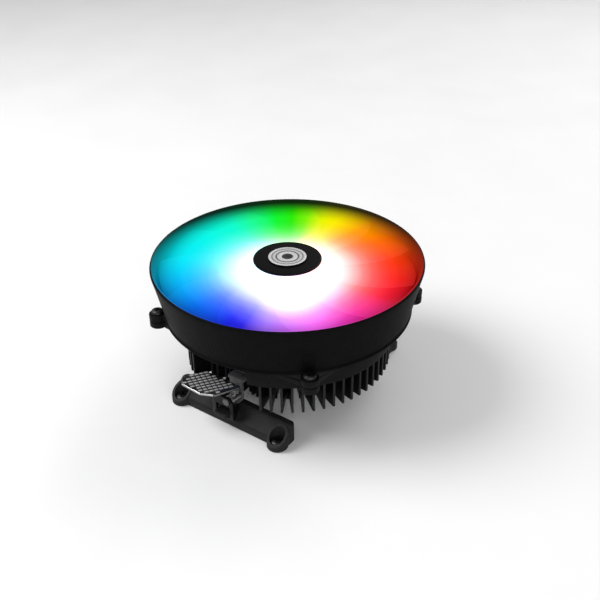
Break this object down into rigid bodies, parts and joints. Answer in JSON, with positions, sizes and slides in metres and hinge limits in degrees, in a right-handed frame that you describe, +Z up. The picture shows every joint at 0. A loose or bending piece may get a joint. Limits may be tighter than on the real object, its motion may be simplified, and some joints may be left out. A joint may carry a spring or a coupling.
{
  "type": "low-profile top-flow cpu cooler",
  "caption": "Low-profile top-flow CPU cooler: lit bowl-shaped fan over a round black radial-fin heatsink, held on two retention bars by a strap with a knurled cam lever.",
  "frame": {"origin": "on the fan's axis, at the height of the board that the two retention bars stand on", "axes": "+Z up along the fan's axis, +Y along the clip strap towards its fixed rear hook, +X along the retention bars; the lever lies on the -Y side"},
  "size_m": [0.1198, 0.1198, 0.063],
  "materials": {
    "bar_plastic": "satin moulded, fine grain",
    "screw_steel": "black zinc",
    "anodised_fins": "black anodised, extruded",
    "frame_plastic": "satin moulded",
    "spring_steel": "nickel plated",
    "bearing_bronze": "sintered",
    "plug_plastic": "satin",
    "board": "solder mask",
    "led_package": "moulded, lit",
    "lamination_steel": "stacked sheets",
    "copper_wire": "enamelled copper winding",
    "lit_plastic": "milky, lit from the hub",
    "cap_black": "satin",
    "badge_silver": "turned",
    "yoke_steel": "drawn",
    "magnet": "bonded ferrite",
    "shaft_steel": "ground",
    "washer_nylon": "natural nylon",
    "hook_steel": "dark plated",
    "lever_steel": "knurled, nickel plated"
  },
  "bodies": {
    "cooler": {"retention_bar_front": "bar_plastic", "retention_bar_rear": "bar_plastic", "bar_screw_1": "screw_steel", "bar_screw_2": "screw_steel", "bar_screw_3": "screw_steel", "bar_screw_4": "screw_steel", "heatsink": "anodised_fins", "fan_mount_ring": "frame_plastic", "fan_frame": "frame_plastic", "fan_screw_1": "screw_steel", "fan_screw_2": "screw_steel", "fan_screw_3": "screw_steel", "fan_screw_4": "screw_steel", "clip_strap": "spring_steel", "bearing_sleeve": "bearing_bronze", "base_plug": "plug_plastic", "circuit_board": "board", "led_1": "led_package", "led_2": "led_package", "led_3": "led_package", "led_4": "led_package", "led_5": "led_package", "led_6": "led_package", "stator_core": "lamination_steel", "stator_coil_1": "copper_wire", "stator_coil_2": "copper_wire", "stator_coil_3": "copper_wire", "stator_coil_4": "copper_wire"},
    "rotor": {"impeller": "lit_plastic", "hub_cap": "cap_black", "hub_badge": "badge_silver", "rotor_yoke": "yoke_steel", "magnet_ring": "magnet", "rotor_shaft": "shaft_steel", "lock_washer": "washer_nylon"},
    "hook": {"hook_plate": "hook_steel", "lever_pin": "hook_steel"},
    "lever": {"cam_lever": "lever_steel"}
  },
  "joints": [
    {"name": "impeller_spin", "type": "hinge", "parent": "cooler", "child": "rotor", "pos_m": [0, 0, 0.0495], "axis": [0, 0, 1], "continuous": true},
    {"name": "hook_slide", "type": "slide", "parent": "cooler", "child": "hook", "axis": [0, 0, 1], "range_m": [-0.001, 0]},
    {"name": "lever_hinge", "type": "hinge", "parent": "hook", "child": "lever", "pos_m": [0.0024, -0.0482, 0.0145], "axis": [0, 1, 0], "range_deg": [0, 95]}
  ],
  "couplings": [
    {"joint": "hook_slide", "follows": "lever_hinge", "m_per_rad": -0.0006}
  ]
}
